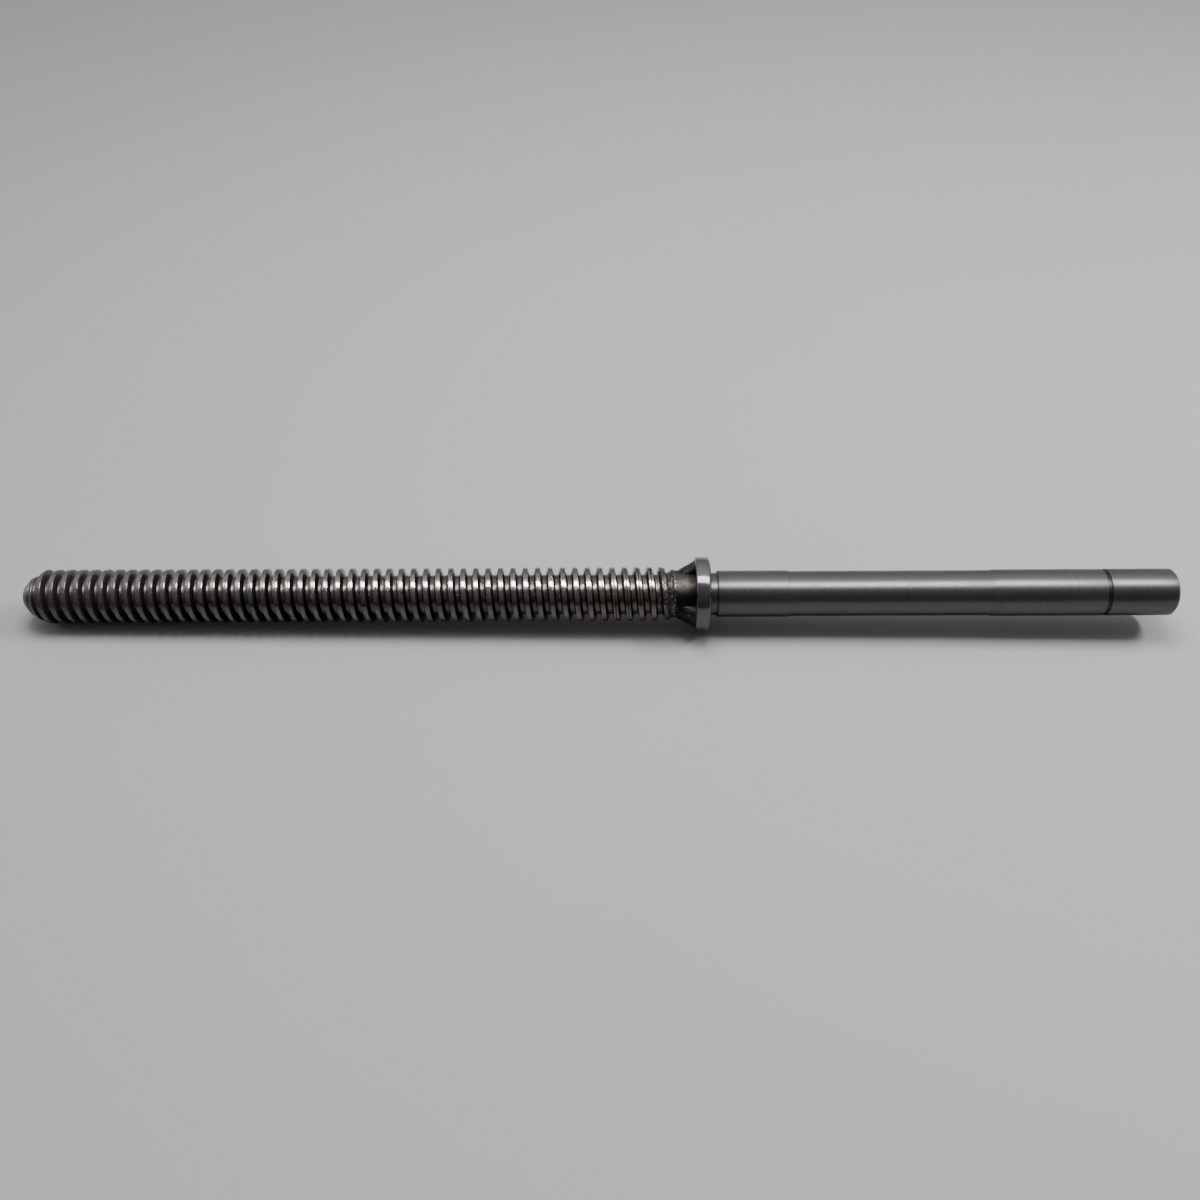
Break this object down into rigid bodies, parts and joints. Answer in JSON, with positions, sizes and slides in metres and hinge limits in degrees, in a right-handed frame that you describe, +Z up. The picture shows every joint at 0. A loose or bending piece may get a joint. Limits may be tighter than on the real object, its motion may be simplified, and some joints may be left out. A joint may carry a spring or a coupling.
{
  "type": "acme power screw",
  "caption": "Right-hand Acme power screw: threaded bar with turned bearing journals, a retaining ring groove and a welded-on thrust collar between thread and journals.",
  "frame": {"origin": "on the screw's axis, in the plane of the collar's bearing face, which is the collar's face towards the journals", "axes": "+X along the screw's axis from the thread towards the journal end, +Z up and +Y away from the viewer as the screw lies on a table"},
  "size_m": [0.4697, 0.0302, 0.0302],
  "materials": {
    "bar_steel": "turned satin on the journals, dark and oily on the thread",
    "collar_steel": "turned satin",
    "weld_metal": "oxidised weld with straw and brown heat tint"
  },
  "bodies": {
    "root": {"screw_bar": "bar_steel", "thrust_collar": "collar_steel", "upper_weld": "weld_metal", "lower_weld": "weld_metal"}
  },
  "joints": []
}
